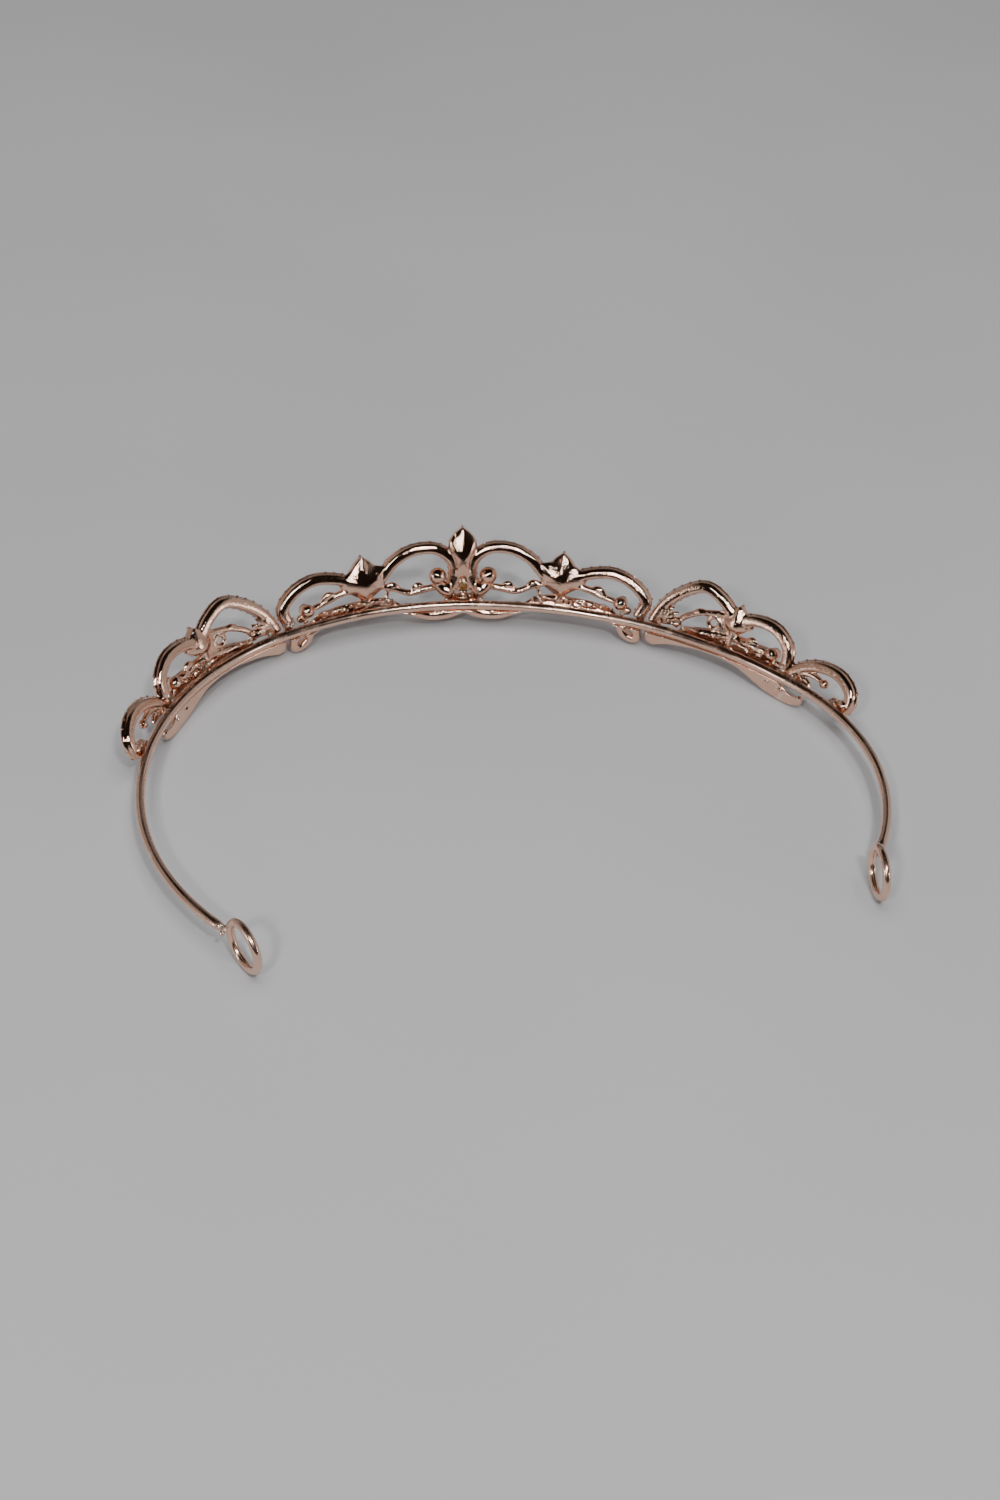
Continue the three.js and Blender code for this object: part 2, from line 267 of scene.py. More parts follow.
def moved(shape, place_at, side=1, depth=0.0):
    """Takes a shape to its place on one side of the tiara."""
    points, faces = shape
    return (points + [*place_at, depth]) * [side, 1, 1], faces


def plate(outline, side, back, front, slope=0.0):
    """A web of metal between bars, with rounded edges, whose back may lean by a slope."""
    outline = closed_evenly(np.array(outline) * [side, 1], 60)
    centre = outline.mean(0)
    reach = np.linalg.norm(outline - centre, axis=1).mean()
    inner = 1 - PLATE_EDGE / reach
    points, faces = stacked(scaled_rings(outline, centre, [
        (inner, back), (1, back + PLATE_EDGE), (1, front - PLATE_EDGE), (inner, front),
    ]))
    points[:, 2] += slope * (points[:, 1] - centre[1])
    return points, faces


# ---- Sections: (across, depth), the back at negative depth ----
ARCH_SECTION = mirrored([
    (0.0, -0.88), (0.4, -0.86), (0.72, -0.77), (0.94, -0.58), (1.05, -0.3), (1.08, 0.02),
    (1.1, 0.2), (1.24, 0.3), (1.31, 0.45), (1.31, 0.8), (1.22, 0.95), (1.05, 0.92), (0.94, 0.7),
    (0.0, 0.62),
])
RAIL_SECTION = mirrored([
    (0.0, -0.72), (0.3, -0.68), (0.56, -0.52), (0.75, -0.22), (0.85, 0.2), (0.85, 0.6), (0.7, 0.8),
    (0.0, 0.86),
])

# ---- Pattern of the ornaments, as in the part: (length along the wire, height up the ornament) ----
INNER_ARCH = [(16.4, 5.6), (13.4, 8.9), (9.6, 10.8), (5.2, 10.8), (2.2, 8.4), (1.6, 5.0), (3.6, 0.4)]
OUTER_ARCH = [(22.0, 5.6), (25.4, 7.2), (30.0, 8.0), (34.6, 6.4), (37.2, 3.6), (36.2, 0.0)]
BIG_ARCH = [(39.4, -0.2), (41.0, 3.8), (44.2, 7.6), (48.6, 10.1), (52.4, 8.8), (56.6, 5.4)]
MIDDLE_ARCH = [(56.0, 5.2), (60.4, 7.1), (65.0, 7.0), (68.4, 4.4), (69.2, -0.2)]
SMALL_ARCH = [(70.2, -0.4), (72.8, 2.6), (76.8, 4.6), (81.2, 4.9), (84.4, 3.2), (84.8, 0.2), (82.6, -0.6)]

CENTRE_PEAR = (0, 11.9)
INNER_PEAR = (19.7, 7.5)
OUTER_PEAR = (56.4, 5.4)

INNER_SCROLL = [(2.8, 2.0), (4.0, 2.4), (4.9, 3.6), (5.1, 5.0)]
INNER_VINE = [(4.2, 3.0), (7.2, 2.5), (10.8, 1.9), (13.6, 3.0), (17.0, 4.2)]
VINE_FOOT = [(15.0, 3.4), (15.6, 1.6), (16.0, 0.2)]
OUTER_VINE = [(21.6, 4.6), (25.4, 3.8), (29.0, 2.7), (32.2, 2.2)]
SIDE_VINE = [(44.2, 0.2), (45.4, 2.4), (48.4, 4.4), (52.0, 5.6), (55.6, 6.0)]
SCROLL_BEAD = (5.1, 5.2)
VINE_BEAD = (32.3, 2.2)
SIDE_BEAD = (65.6, 2.0)

# ---- Finer shapes than the part's, in the same measures ----
# The centre's lower rail with its breadth along the wire, and the open lobe and small beads at its end.
CENTRE_RAIL = [(0.4, -1.8), (3.2, -2.9), (7.0, -3.1), (11.0, -1.9), (15.0, -0.5), (20.5, 0.1),
               (27.0, 0.0), (31.0, -0.9), (33.2, -1.9)]
RAIL_BREADTH = [(0, 1.1), (3, 1.25), (8, 1.25), (12, 0.9), (16, 1.0), (21, 1.35), (27, 1.3), (33, 0.9)]
END_LOBE = [(32.9, -1.9), (33.6, -3.4), (35.0, -4.5), (36.6, -4.5), (36.9, -3.4), (36.0, -2.2),
            (34.4, -1.5)]
LOBE_STEM = [(36.8, 0.4), (36.9, -1.4), (36.6, -3.0)]
LOBE_BEAD = (31.9, -1.4)
ARCH_FOOT_BEAD = (33.9, 0.9)
UNDER_RAIL = [(1.4, -1.2), (4.0, -1.5), (8.0, -1.3), (12.0, -0.9)]

# Leaf buds on the vines, and the fan of leaves in the big arch's corner.
SCROLL_BUD = [(7.7, 2.5), (9.0, 3.3), (10.6, 2.6)]
INNER_BUD = [(12.6, 3.0), (14.2, 3.9), (15.8, 3.9)]
OUTER_BUD = [(25.6, 3.9), (27.4, 4.3), (29.4, 3.0)]
SIDE_BUD = [(47.0, 3.8), (48.6, 4.8), (50.4, 5.2)]
STRIP_BUD = [(59.2, 2.2), (60.8, 3.0), (62.4, 2.2)]
FAN_FOOT = (40.9, 0.2)
FAN_TIPS = [(42.2, 4.9), (43.5, 4.4), (44.6, 3.5), (45.4, 2.3), (45.8, 1.0)]

# Stems, the round eye and the beads of the side castings: (place, depth, radius) for each bead.
SIDE_STRIP = [(46.0, -0.2), (51.0, 1.0), (56.5, 1.8), (61.5, 1.8), (65.4, 2.0)]
SIDE_NECK = [(56.4, 4.6), (56.4, 1.0), (56.2, -2.2)]
SMALL_ARCH_STEM = [(71.0, 0.2), (74.5, 2.0), (78.4, 1.9)]
SIDE_EYE = (52.0, 3.5)
SIDE_EYE_RADIUS = 1.2
SIDE_BEADS = [
    ((67.0, -3.4), -0.5, 0.55), ((70.4, -3.6), -0.5, 0.55), ((75.2, -3.3), -0.1, 0.85),
    ((81.8, -0.4), 0.0, 1.15), ((84.4, 0.6), -0.1, 1.3), ((78.4, 1.8), -0.2, 1.0),
]

# The open bezel at the centre's foot, and the lumps of metal below it: (s, h, radius).
BEZEL_HEIGHT = 2.7
BEZEL_RADIUS = 1.15
FOOT_LUMPS = [(-1.3, 0.6, 0.5), (-0.4, 0.2, 0.6), (0.6, 0.3, 0.55), (1.4, 0.8, 0.45), (0.1, 0.9, 0.4)]

# Outlines of the plates of metal between the bars, and where the domed ones have their peaks.
INNER_SPADE = [(19.8, 10.8), (18.7, 9.6), (17.3, 8.7), (15.2, 8.2), (14.6, 6.9), (15.6, 5.2), (15.7, 3.8),
               (17.4, 2.6), (19.0, 1.6), (19.9, 0.8), (21.0, 2.0), (22.4, 3.0), (24.0, 3.8), (25.0, 5.6),
               (24.8, 7.4), (23.4, 7.6), (22.2, 8.5), (21.2, 9.8)]
INNER_SPADE_PEAK = (19.7, 4.7)
CENTRE_SPADE = [(0.0, 15.3), (1.5, 13.9), (2.6, 12.7), (2.8, 11.4), (2.7, 10.2), (2.2, 8.8), (1.9, 7.4),
                (1.8, 5.8), (2.2, 4.2), (-2.2, 4.2), (-1.8, 5.8), (-1.9, 7.4), (-2.2, 8.8), (-2.7, 10.2),
                (-2.8, 11.4), (-2.6, 12.7), (-1.5, 13.9)]
CENTRE_SPADE_PEAK = (0.0, 8.4)
CENTRE_FOOT = [(2.2, 1.2), (3.4, 0.4), (2.4, -2.2), (0.0, -2.8), (-2.4, -2.2), (-3.4, 0.4), (-2.2, 1.2)]
GRAIN_STRIP = [(12.6, -0.4), (14.4, 0.9), (17.0, 1.7), (21.0, 1.7), (26.0, 1.5), (30.0, 1.0), (32.0, -0.2),
               (24.0, -0.8)]
SIDE_BLADE = [(39.2, -0.4), (38.5, -2.4), (38.7, -4.0), (40.3, -4.7), (42.4, -4.0), (44.6, -3.4),
              (50.4, -2.7), (55.0, -2.6), (59.7, -3.1), (63.5, -4.5), (67.0, -5.6), (71.0, -6.0),
              (74.0, -5.6), (75.8, -4.4), (75.6, -2.9), (73.6, -3.5), (71.4, -3.2), (69.4, -1.4),
              (66.0, 0.2), (56.0, 0.0), (46.0, -0.6)]
SIDE_BAND = [(44.6, -0.8), (46.2, 0.9), (51.0, 1.6), (56.4, 1.9), (62.0, 1.5), (67.6, 1.2), (74.6, 1.1),
             (76.4, -0.4), (60.0, -1.0)]
SIDE_WEB_TOP = [(48.8, 4.4), (50.2, 5.7), (52.6, 6.4), (54.6, 8.0), (56.5, 5.0), (53.8, 4.2), (53.0, 4.8),
                (51.2, 4.9), (50.4, 4.2)]
SIDE_WEB = [(53.2, 4.8), (53.4, 3.4), (52.8, 2.2), (54.0, 1.2), (56.4, 1.0), (58.0, 3.4), (60.4, 5.2),
            (59.0, 7.4), (56.0, 7.8)]

# The cups and claws. A round cup's wall is (radius, depth); a claw is (reach inward, depth, radius).
CUP_PEAK = -1.1  # height of the back's peak from the middle of the round end
CUP_BACK = -0.3
CUP_RIM = 1.45
ROUND_CUP = [(0.3, -0.2), (0.85, 0.2), (1.15, 0.8), (1.26, 1.5), (1.22, 1.72), (1.06, 1.7), (1.0, 1.2),
             (0.3, 0.9)]
CLAW = [(0, 1.2, 0.34), (0.0, 1.9, 0.3), (0.15, 2.3, 0.27), (0.42, 2.52, 0.2), (0.6, 2.5, 0.08)]
CLAW_CLEARANCE = 0.2

# Each arch's row of crystals: its line, and the shares of it where the row starts and ends.
ROWS = {
    "inner_arch": (INNER_ARCH, 0.08, 0.86),
    "outer_arch": (OUTER_ARCH, 0.12, 0.96),
    "big_arch": (BIG_ARCH, 0.04, 0.84),
    "middle_arch": (MIDDLE_ARCH, 0.18, 0.96),
    "small_arch": (SMALL_ARCH, 0.06, 0.9),
}
ROW_STONE_RADIUS = 0.74
ROW_PITCH = 1.6
ROW_GIRDLE_DEPTH = 1.0
# The grains of metal beside the row's crystals: (reach across, depth, radius).
ROW_GRAINS = [(-0.68, 1.14, 0.24), (0.68, 1.14, 0.24), (-1.2, 0.78, 0.3), (1.2, 0.78, 0.3)]
CUP_GIRDLE_DEPTH = 1.75
CUP_STONE_RADIUS = 1.0
BEZEL_GIRDLE_DEPTH = 0.4
BEZEL_STONE_RADIUS = 0.98

# Round crystals: rings of corners as (share of the radius, depth), from the table to the point.
TABLE = (0.56, 0.34)
STAR = (0.8, 0.2)
GIRDLE_TOP = (1.0, 0.04)
GIRDLE_FOOT = (1.0, -0.06)
PAVILION = (0.5, -0.42)
CULET_DEPTH = -0.78
# Pear crystals: rings as (scale, depth), from the point at the back to the table.
PEAR_CORNERS = 24
PEAR_CENTRE = (0, 0.9)
PEAR_RINGS = [(0.03, -1.0), (0.45, -0.75), (0.98, -0.08), (1.0, 0.0), (1.0, 0.12), (0.8, 0.55),
              (0.56, 0.78)]
PEAR_TURNED_RINGS = (1, 5)
PEAR_FOILED_BANDS = 2

# Where solder holds the castings to the wire: (s, h).
CENTRE_JOINTS = [(3.6, 0.2), (16.0, 0.5), (19.8, 0.8), (33.4, 0.4), (36.6, 0.6)]
SIDE_JOINTS = [(41.0, 0.4), (46.2, 0.5), (57.0, 0.8), (69.2, 0.6), (72.0, 0.2), (82.2, 0.0)]
SOLDER_RADIUS = 0.62
RING_SOLDER_RADIUS = 0.95
SOLDER_BEADS = 6

SIDES = {"left": 1, "right": -1}


# ---- Meshes ----
def gathered(shapes):
    """Several shapes as one list of points and faces."""
    points, faces, start = [], [], 0
    for p, f in shapes:
        points.append(np.asarray(p, float))
        faces += [[n + start for n in face] for face in f]
        start += len(p)
    return np.vstack(points), faces


def mesh_of(name, points, faces):
    mesh = bpy.data.meshes.new(name)
    mesh.from_pydata(np.asarray(points).tolist(), [], faces)
    mesh.update()
    return mesh


def arrays_of(mesh):
    points = np.zeros(len(mesh.vertices) * 3)
    mesh.vertices.foreach_get("co", points)
    return points.reshape(-1, 3), [list(p.vertices) for p in mesh.polygons]


def cast(shapes, voxel=VOXEL, rounds=8):
    """Runs overlapping shapes together into one skin and softens it as casting and plating do."""
    piece = bpy.data.objects.new("casting_work", mesh_of("casting_work", *gathered(shapes)))
    bpy.context.scene.collection.objects.link(piece)
    remesh = piece.modifiers.new("one skin", "REMESH")
    remesh.mode = "VOXEL"
    remesh.voxel_size = voxel
    soften = piece.modifiers.new("soften", "SMOOTH")
    soften.factor = 0.5
    soften.iterations = rounds
    bpy.context.view_layer.update()
    made = piece.evaluated_get(bpy.context.evaluated_depsgraph_get()).to_mesh()
    arrays = arrays_of(made)
    bpy.data.objects.remove(piece)
    return arrays


def add_piece(name, points, faces, materials, node, smooth=True, parts=None):
    """Adds a finished piece in the part frame. parts gives each face's material, if there are several."""
    mesh = mesh_of(name, points, faces)
    for material in materials:
        mesh.materials.append(material)
    if parts is not None:
        mesh.polygons.foreach_set("material_index", parts)
    mesh.polygons.foreach_set("use_smooth", [smooth] * len(mesh.polygons))
    piece = bpy.data.objects.new(name, mesh)
    bpy.context.scene.collection.objects.link(piece)
    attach(piece, "root")
    if node:
        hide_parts(node)


# ---- Materials ----
def node_group(name, inputs, outputs):
    """A node group whose inputs, each with its usual value, and outputs are all plain values."""
    group = bpy.data.node_groups.new(name, "ShaderNodeTree")
    for label, value in inputs.items():
        socket = group.interface.new_socket(name=label, in_out="INPUT", socket_type="NodeSocketFloat")
        socket.default_value = value
    for label in outputs:
        group.interface.new_socket(name=label, in_out="OUTPUT", socket_type="NodeSocketFloat")
    return group, group.nodes.new("NodeGroupInput").outputs, group.nodes.new("NodeGroupOutput").inputs


def feed(tree, socket, value):
    """Links a socket to another node's output, or gives it a plain value."""
    if isinstance(value, bpy.types.NodeSocket):
        tree.links.new(value, socket)
    else:
        socket.default_value = value


def place(tree, kind, **settings):
    """Adds a node. Each setting is a property of the node or, with _ for a space, one of its inputs."""
    node = tree.nodes.new("ShaderNode" + kind)
    for key, value in settings.items():
        if hasattr(node, key):
            setattr(node, key, value)
        else:
            feed(tree, node.inputs[key.replace("_", " ")], value)
    return node


def ramp(tree, source, low, high, start, end):
    """Maps a value from low..high to start..end, held at the ends."""
    node = place(tree, "MapRange", Value=source, From_Min=low, From_Max=high, To_Min=start, To_Max=end)
    return node.outputs["Result"]


def maths(tree, operation, first, second):
    node = place(tree, "Math", operation=operation)
    feed(tree, node.inputs[0], first)
    feed(tree, node.inputs[1], second)
    return node.outputs[0]


def noise(tree, scale, detail=3.0):
    """Cloudy noise fixed to the piece. scale is in cycles per metre."""
    where = place(tree, "TexCoord").outputs["Object"]
    return place(tree, "TexNoise", Vector=where, Scale=scale, Detail=detail, Roughness=0.55).outputs["Fac"]


def mix_colour(tree, share, first, second):
    node = place(tree, "Mix", data_type="RGBA")
    for label, value in (("Factor", share), ("A", first), ("B", second)):
        feed(tree, [socket for socket in node.inputs if socket.name == label and socket.enabled][0], value)
    return [socket for socket in node.outputs if socket.enabled][0]


def add_relief(tree, shader, height, strength, distance):
    """Bump from a height. distance is in metres."""
    bump = place(tree, "Bump", Height=height, Strength=strength, Distance=distance)
    tree.links.new(bump.outputs["Normal"], shader.inputs["Normal"])


def cast_ripple_group():
    """The slight waviness and pits of plated castings: a height, and a mask of duller patches."""
    group, given, out = node_group(
        "cast ripple", {"Wave Scale": 700.0, "Pit Scale": 4200.0, "Pits": 0.3}, ["Height", "Dull"],
    )
    waves = noise(group, given["Wave Scale"], 2.0)
    deep = ramp(group, noise(group, given["Pit Scale"], 2.0), 0.35, 0.6, 0.0, 1.0)
    height = maths(group, "ADD", waves, maths(group, "MULTIPLY", deep, given["Pits"]))
    dull = ramp(group, noise(group, 260.0, 4.0), 0.4, 0.7, 0.0, 1.0)
    group.links.new(height, out["Height"])
    group.links.new(dull, out["Dull"])
    return group


def wear_and_hollow_shade_group():
    """Masks of raised edges, where the plating has rubbed thin, and of hollows, which get painted shade."""
    group, given, out = node_group("edge wear and hollow shade", {"Reach": 0.06}, ["Worn", "Hollow Shade"])
    level = 0.5  # pointiness of a flat surface
    above = maths(group, "SUBTRACT", place(group, "NewGeometry").outputs["Pointiness"], level)
    shared = maths(group, "DIVIDE", above, given["Reach"])
    group.links.new(ramp(group, shared, 0.25, 1.0, 0.0, 1.0), out["Worn"])
    # Painted shade mask: the more a spot is sunk in, the more it is darkened later, standing in for shade
    # in recesses.
    group.links.new(ramp(group, shared, -1.0, -0.25, 1.0, 0.0), out["Hollow Shade"])
    return group


RIPPLE = cast_ripple_group()
WEAR_AND_SHADE = wear_and_hollow_shade_group()


def new_material(name):
    material = bpy.data.materials.new(name)
    material.use_nodes = True
    tree = material.node_tree
    shader = tree.nodes["Principled BSDF"]
    return material, tree, shader


def plated_metal(name, body, worn, dark_tone_and_shade, wave, pits, bump, smoothest, dullest):
    """Bright plating over cast or drawn metal, worn thin on edges, with painted shade darkening the
    hollows.
    """
    material, tree, shader = new_material(name)
    ripple = place(tree, "Group", node_tree=RIPPLE, Wave_Scale=wave, Pits=pits)
    wear_and_shade = place(tree, "Group", node_tree=WEAR_AND_SHADE)
    tone = ramp(tree, noise(tree, 190.0, 2.0), 0.35, 0.65, 0.0, 0.35)
    plain = mix_colour(tree, tone, body, dark_tone_and_shade)
    rubbed = mix_colour(tree, wear_and_shade.outputs["Worn"], plain, worn)
    # Painted shade: hollows are taken up to 0.6 of the way to the dark colour, as if shade fell in them.
    hollow_shade_share = ramp(tree, wear_and_shade.outputs["Hollow Shade"], 0.0, 1.0, 0.0, 0.6)
    tree.links.new(mix_colour(tree, hollow_shade_share, rubbed, dark_tone_and_shade), shader.inputs["Base Color"])
    dulled = ramp(tree, ripple.outputs["Dull"], 0.0, 1.0, smoothest, dullest)
    tree.links.new(dulled, shader.inputs["Roughness"])
    add_relief(tree, shader, ripple.outputs["Height"], bump, 0.0001)
    shader.inputs["Metallic"].default_value = 1.0
    return material


# Each plating's third colour is both a darker tone at random and the painted shade in its hollows.
ROSE_GOLD = plated_metal(
    "rose_gold_casting", (0.88, 0.57, 0.43, 1), (0.93, 0.7, 0.58, 1), (0.68, 0.39, 0.26, 1),
    wave=1300.0, pits=0.35, bump=0.3, smoothest=0.03, dullest=0.1,
)
WIRE_GOLD = plated_metal(
    "rose_gold_wire", (0.88, 0.6, 0.47, 1), (0.93, 0.73, 0.62, 1), (0.74, 0.46, 0.34, 1),
    wave=420.0, pits=0.1, bump=0.12, smoothest=0.18, dullest=0.34,
)
SOLDER_METAL = plated_metal(
    "plated_solder", (0.86, 0.66, 0.52, 1), (0.96, 0.86, 0.76, 1), (0.5, 0.27, 0.16, 1),
    wave=1500.0, pits=0.8, bump=0.7, smoothest=0.1, dullest=0.3,
)


def cut_crystal():
    """Clear lead glass: nearly colourless, with faint polishing marks."""
    material, tree, shader = new_material("cut_crystal")
    marks = noise(tree, 2600.0, 2.0)
    marked = ramp(tree, marks, 0.3, 0.7, 0.0, 1.0)
    tint = mix_colour(tree, marked, (0.97, 0.98, 1.0, 1), (0.9, 0.93, 0.97, 1))
    tree.links.new(tint, shader.inputs["Base Color"])
    tree.links.new(ramp(tree, marks, 0.4, 0.8, 0.0, 0.05), shader.inputs["Roughness"])
    add_relief(tree, shader, marks, 0.03, 0.00005)
    shader.inputs["Transmission Weight"].default_value = 1.0
    shader.inputs["IOR"].default_value = 1.56
    return material


def foil(name, bright, dim):
    """Mirror foil on a crystal's back, slightly wrinkled, with a lacquer that has aged unevenly."""
    material, tree, shader = new_material(name)
    wrinkles = noise(tree, 3200.0)
    blotches = ramp(tree, noise(tree, 900.0, 4.0), 0.4, 0.65, 0.0, 1.0)
    tree.links.new(mix_colour(tree, blotches, bright, dim), shader.inputs["Base Color"])
    tree.links.new(ramp(tree, blotches, 0.0, 1.0, 0.08, 0.28), shader.inputs["Roughness"])
    add_relief(tree, shader, wrinkles, 0.3, 0.00006)
    shader.inputs["Metallic"].default_value = 1.0
    return material


CRYSTAL = cut_crystal()
SILVER_FOIL = foil("silver_foil", (0.9, 0.91, 0.93, 1), (0.72, 0.74, 0.78, 1))
GOLD_FOIL = foil("gold_foil", (0.93, 0.82, 0.52, 1), (0.62, 0.5, 0.28, 1))


# ---- Cast parts of the ornaments ----
def arch(points, side):
    return sweep(flat_line(points, side, 90), ARCH_SECTION)


def tapered(points, side, count, radius, start=1.0, end=1.0, lift=0.0):
    """A thin round stem whose thickness runs from one share of its radius to another."""
    size = np.linspace(start, end, count)
    return sweep(flat_line(points, side, count), round_section(radius), size, size, lift)


def leaf(points, side, width, thickness=0.5, lift=-0.15):
    """A leaf bud along a short line: full in the middle and pointed at both ends."""
    line = flat_line(points, side, 16)
    swell = np.sin(np.linspace(0.12, math.pi - 0.12, 16)) ** 0.8
    return sweep(line, round_section(1.0), swell * width / 2, swell * thickness, lift)


def spade(outline, peak, side, rise):
    """The polished back of a pear, run out into the arches beside it and the web below."""
    dome = [(scale, -0.3 - rise * (1 - scale ** 2)) for scale in (0.04, 0.2, 0.36, 0.52, 0.68, 0.82, 0.93)]
    front = [(1.0, -0.1), (1.0, 0.4), (0.96, 0.55)]
    return moved(stacked(scaled_rings(closed_evenly(outline, 96), peak, dome + front)), (0, 0), side)


def pear_cup(place_at, side, rise=0.5):
    """The cup of a pear crystal: a back with a low peak near its foot, a wall and an open front."""
    outline = pear_outline(PEAR_LENGTH + 2 * CUP_WALL, PEAR_WIDTH + 2 * CUP_WALL)
    dome = [
        (scale, CUP_BACK - rise * (1 - scale ** 1.8))
        for scale in (0.04, 0.2, 0.4, 0.6, 0.76, 0.88, 0.96)
    ]
    front = [
        (1.0, CUP_BACK + 0.12), (1.0, CUP_RIM - 0.1), (0.96, CUP_RIM), (0.88, CUP_RIM - 0.1),
        (0.84, 0.95), (0.3, 0.85),
    ]
    rings = scaled_rings(outline, (0, CUP_PEAK), dome) + scaled_rings(outline, (0, 0.4), front)
    return moved(stacked(rings), place_at, side)


def round_cup(place_at, side):
    """The small open cup that holds a round crystal in front of a ball."""
    turn = np.linspace(0, 2 * math.pi, 24, endpoint=False)
    rings = [
        np.column_stack([radius * np.cos(turn), radius * np.sin(turn), np.full(24, depth)])
        for radius, depth in ROUND_CUP
    ]
    return moved(stacked(rings), place_at, side)


def claws(place_at, side):
    """Claws at the point, the shoulders and the round end of a pear crystal."""
    half = PEAR_WIDTH / 2 + CLAW_CLEARANCE
    tip = PEAR_LENGTH - PEAR_WIDTH / 2
    # Where each claw stands, and the direction in which it leans over the crystal.
    seats = [(0, tip + 0.15, 0, -1), (-half, 0.1, 1, 0), (half, 0.1, -1, 0),
             (-0.62 * half, -0.78 * half, 0.6, 0.8), (0.62 * half, -0.78 * half, -0.6, 0.8)]
    made = []
    for s, h, lean_s, lean_h in seats:
        rings = []
        for inward, depth, radius in CLAW:
            ring = round_section(radius, 10)
            rings.append(np.column_stack([
                ring[:, 0] + s + lean_s * inward, ring[:, 1] + h + lean_h * inward, np.full(10, depth),
            ]))
        made.append(moved(stacked(rings), place_at, side))
    return made


def nuggets(side, start, end, heights, count, seed):
    """Small lumps scattered along a strip, which give it its rough grain."""
    draw = np.random.default_rng(seed)
    return [
        ball((side * draw.uniform(start, end), draw.uniform(*heights), draw.uniform(-0.75, -0.5)),
             draw.uniform(0.22, 0.38), rings=6, sides=8)
        for _ in range(count)
    ]


def centre_half(side):
    """Everything on one side of the centre casting."""
    rail = flat_line(CENTRE_RAIL, side, 90)
    breadth = np.interp(np.abs(rail[:, 0]), *np.transpose(RAIL_BREADTH))
    return [
        arch(INNER_ARCH, side),
        arch(OUTER_ARCH, side),
        sweep(rail, RAIL_SECTION, breadth),
        sweep(flat_line(END_LOBE + END_LOBE[:2], side, 60), RAIL_SECTION, 1.1),
        sweep(flat_line(LOBE_STEM, side, 20), RAIL_SECTION, 1.1),
        bead(LOBE_BEAD, -0.4, 0.95, side),
        sweep(flat_line(UNDER_RAIL, side, 30), RAIL_SECTION, 0.7),
        tapered(INNER_SCROLL, side, 20, 1.2, 1.3, 0.9, -0.2),
        bead(SCROLL_BEAD, -0.5, 1.85, side),
        round_cup(SCROLL_BEAD, side),
        tapered(INNER_VINE, side, 40, 0.6, 1.25, 1.0),
        leaf(SCROLL_BUD, side, 1.5),
        leaf(INNER_BUD, side, 1.5),
        tapered(VINE_FOOT, side, 14, 0.42, 1.0, 1.2),
        tapered(OUTER_VINE, side, 30, 0.62, 1.3, 0.9),
        leaf(OUTER_BUD, side, 1.4),
        bead(VINE_BEAD, -0.4, 1.5, side),
        plate(GRAIN_STRIP, side, -0.6, 0.4, 0.1),
        *nuggets(side, 14.0, 31.0, (0.4, 1.3), 70, 11),
        round_cup(VINE_BEAD, side),
        bead(ARCH_FOOT_BEAD, 0.0, 0.9, side),
        spade(INNER_SPADE, INNER_SPADE_PEAK, side, 1.3),
        pear_cup(INNER_PEAR, side),
    ]


def centre_ornament():
    """The whole centre casting, with a pear, an open bezel and a foot between its two halves."""
    turn = np.linspace(0, 2 * math.pi, 33)[:, None]
    bezel = np.hstack([BEZEL_RADIUS * np.cos(turn), BEZEL_HEIGHT + BEZEL_RADIUS * np.sin(turn)])
    middle_parts = [
        spade(CENTRE_SPADE, CENTRE_SPADE_PEAK, 1, 1.4),
        plate(CENTRE_FOOT, 1, -0.3, 0.55),
        sweep(bezel, round_section(0.34), 1.0, 1.6, -0.2),
        pear_cup(CENTRE_PEAR, 1),
        *[ball((s, h, -0.45), radius) for s, h, radius in FOOT_LUMPS],
    ]
    return middle_parts + centre_half(1) + centre_half(-1)


def side_ornament(side):
    """A whole side casting."""
    turn = np.linspace(0, 2 * math.pi, 25)[:, None]
    eye = np.hstack([
        side * (SIDE_EYE[0] + SIDE_EYE_RADIUS * np.cos(turn)),
        SIDE_EYE[1] + SIDE_EYE_RADIUS * np.sin(turn),
    ])
    fan = [
        leaf([FAN_FOOT, ((FAN_FOOT[0] + s) / 2 - 0.3, h / 2 + 0.3), (s, h)], side, 1.05, 0.7, -0.3)
        for s, h in FAN_TIPS
    ]
    return [
        arch(BIG_ARCH, side),
        arch(MIDDLE_ARCH, side),
        arch(SMALL_ARCH, side),
        plate(SIDE_BLADE, side, -0.5, 0.45),
        plate(SIDE_BAND, side, -0.5, 0.4, 0.1),
        *nuggets(side, 47.0, 74.0, (0.2, 1.0), 60, 23),
        *nuggets(side, 58.0, 65.0, (1.5, 2.3), 26, 21),
        *nuggets(side, 41.5, 45.5, (0.8, 3.0), 14, 22),
        tapered(SMALL_ARCH_STEM, side, 20, 0.75, 1.2, 0.6),
        sweep(flat_line(SIDE_STRIP, side, 50), RAIL_SECTION),
        sweep(eye, round_section(0.5), 1.0, 1.2),
        tapered(SIDE_NECK, side, 20, 0.9),
        tapered(SIDE_VINE, side, 40, 0.55, 1.3, 1.0),
        *fan,
        leaf(SIDE_BUD, side, 1.5),
        leaf(STRIP_BUD, side, 1.4),
        bead(SIDE_BEAD, -0.3, 1.45, side),
        round_cup(SIDE_BEAD, side),
        *[bead(*placed, side) for placed in SIDE_BEADS],
        plate(SIDE_WEB_TOP, side, -0.35, 0.6),
        plate(SIDE_WEB, side, -0.5, 0.6),
        pear_cup(OUTER_PEAR, side, 1.05),
    ]


# ---- Crystals ----
def corner_ring(cut, angles):
    """One ring of a crystal's corners."""
    share, depth = cut
    return np.column_stack([np.cos(angles) * share, np.sin(angles) * share, np.full(len(angles), depth)])


